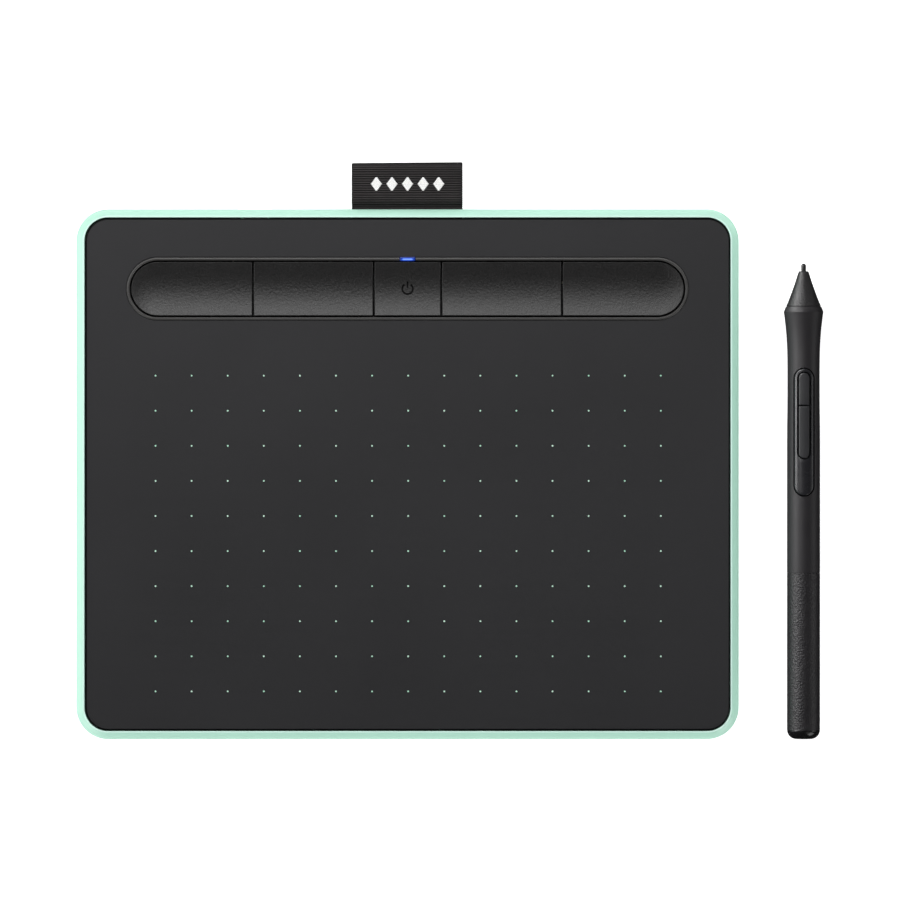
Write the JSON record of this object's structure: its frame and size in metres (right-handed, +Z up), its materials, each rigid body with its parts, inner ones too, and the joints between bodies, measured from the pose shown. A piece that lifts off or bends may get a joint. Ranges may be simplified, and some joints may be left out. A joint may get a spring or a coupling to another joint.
{
  "type": "pen drawing tablet",
  "caption": "Slim pen drawing tablet with a black drawing surface in a pale green tub, a dished key row, a woven pen loop and a cordless pen lying beside it.",
  "frame": {"origin": "on the desk, at the centre of the footprint of the tablet and its pen together", "axes": "+X to the user's right, +Y from the user's front edge to the rear edge with the pen loop, +Z up from the desk"},
  "size_m": [0.2256, 0.174, 0.0119],
  "materials": {
    "green_plastic": "fine satin moulded plastic",
    "black_plastic": "satin moulded plastic",
    "drawing_sheet": "matt paper-feel film with a fine grain",
    "key_plastic": "fine textured plastic",
    "rubber": "matt",
    "woven_ribbon": "ribbed woven ribbon",
    "steel": "plain sheet and turned steel",
    "circuit_board": "solder mask on glass-filled resin",
    "chip_resin": "moulded resin",
    "battery_foil": "crinkled foil pouch",
    "light_guide": "clear, lit blue",
    "nylon_white": "plain moulded nylon",
    "copper_winding": "enamelled copper wire",
    "flex_film": "amber film",
    "lead_jacket": "red jacket",
    "pen_grip": "soft satin",
    "pen_plastic": "satin to glossy",
    "nib_plastic": "hard acetal"
  },
  "bodies": {
    "tablet": {"bottom_case": "green_plastic", "top_cover": "black_plastic", "surface_sheet": "drawing_sheet", "key_bezel": "black_plastic", "light_guide": "light_guide", "status_led": "nylon_white", "sensor_board": "circuit_board", "sensor_shield": "steel", "sensor_flex": "flex_film", "flex_connector": "nylon_white", "control_board": "circuit_board", "processor_chip": "chip_resin", "wireless_module": "steel", "battery_cell": "battery_foil", "battery_lead": "lead_jacket", "battery_connector": "nylon_white", "usb_socket": "steel", "usb_contact_tongue": "chip_resin", "left_outer_key_switch": "chip_resin", "left_inner_key_switch": "chip_resin", "power_key_switch": "chip_resin", "right_inner_key_switch": "chip_resin", "right_outer_key_switch": "chip_resin", "pen_loop": "woven_ribbon", "loop_anchor_bar": "steel", "foot_rear_left": "rubber", "foot_rear_right": "rubber", "foot_front_left": "rubber", "foot_front_right": "rubber", "case_screw_1": "steel", "case_screw_2": "steel", "case_screw_3": "steel", "case_screw_4": "steel", "case_screw_5": "steel", "case_screw_6": "steel"},
    "key_left_outer": {"key_left_outer": "key_plastic"},
    "key_left_inner": {"key_left_inner": "key_plastic"},
    "power_key": {"power_key": "key_plastic"},
    "key_right_inner": {"key_right_inner": "key_plastic"},
    "key_right_outer": {"key_right_outer": "key_plastic"},
    "pen": {"nose_cone": "pen_plastic", "grip_barrel": "pen_grip", "switch_plate": "pen_plastic", "pen_chassis": "black_plastic", "pen_board": "circuit_board", "pen_coil": "copper_winding", "pen_pressure_sensor": "chip_resin", "pen_front_switch": "chip_resin", "pen_rear_switch": "chip_resin", "nib_magazine": "nylon_white", "spare_nib_1": "nib_plastic", "spare_nib_2": "nib_plastic", "spare_nib_3": "nib_plastic"},
    "pen_front_button": {"pen_front_button": "pen_plastic"},
    "pen_rear_button": {"pen_rear_button": "pen_plastic"},
    "nib_holder": {"nib_holder": "nylon_white"},
    "nib": {"nib": "nib_plastic"},
    "pen_rear": {"rear_barrel": "pen_grip", "end_cap": "pen_plastic"}
  },
  "joints": [
    {"name": "key_left_outer_press", "type": "slide", "parent": "tablet", "child": "key_left_outer", "axis": [0, 0, -1], "range_m": [0, 0.0005], "stiffness_N_per_m": 1200, "springref_m": -0.0005},
    {"name": "key_left_inner_press", "type": "slide", "parent": "tablet", "child": "key_left_inner", "axis": [0, 0, -1], "range_m": [0, 0.0005], "stiffness_N_per_m": 1200, "springref_m": -0.0005},
    {"name": "power_key_press", "type": "slide", "parent": "tablet", "child": "power_key", "axis": [0, 0, -1], "range_m": [0, 0.0005], "stiffness_N_per_m": 1200, "springref_m": -0.0005},
    {"name": "key_right_inner_press", "type": "slide", "parent": "tablet", "child": "key_right_inner", "axis": [0, 0, -1], "range_m": [0, 0.0005], "stiffness_N_per_m": 1200, "springref_m": -0.0005},
    {"name": "key_right_outer_press", "type": "slide", "parent": "tablet", "child": "key_right_outer", "axis": [0, 0, -1], "range_m": [0, 0.0005], "stiffness_N_per_m": 1200, "springref_m": -0.0005},
    {"name": "pen_lift", "type": "slide", "parent": "tablet", "child": "pen", "axis": [0, 0, 1], "range_m": [0, 0.04]},
    {"name": "pen_front_button_press", "type": "slide", "parent": "pen", "child": "pen_front_button", "axis": [0, 0.0079, -1], "range_m": [0, 0.0004], "stiffness_N_per_m": 1500, "springref_m": -0.0004},
    {"name": "pen_rear_button_press", "type": "slide", "parent": "pen", "child": "pen_rear_button", "axis": [0, 0.0079, -1], "range_m": [0, 0.0004], "stiffness_N_per_m": 1500, "springref_m": -0.0004},
    {"name": "nib_press", "type": "slide", "parent": "pen", "child": "nib_holder", "axis": [0, -1, -0.0079], "range_m": [0, 0.00035], "stiffness_N_per_m": 2000, "springref_m": -0.0001},
    {"name": "nib_pull", "type": "slide", "parent": "nib_holder", "child": "nib", "axis": [0, 1, 0.0079], "range_m": [0, 0.024]},
    {"name": "pen_rear_pull", "type": "slide", "parent": "pen", "child": "pen_rear", "axis": [0, -1, -0.0079], "range_m": [0, 0.045]}
  ]
}
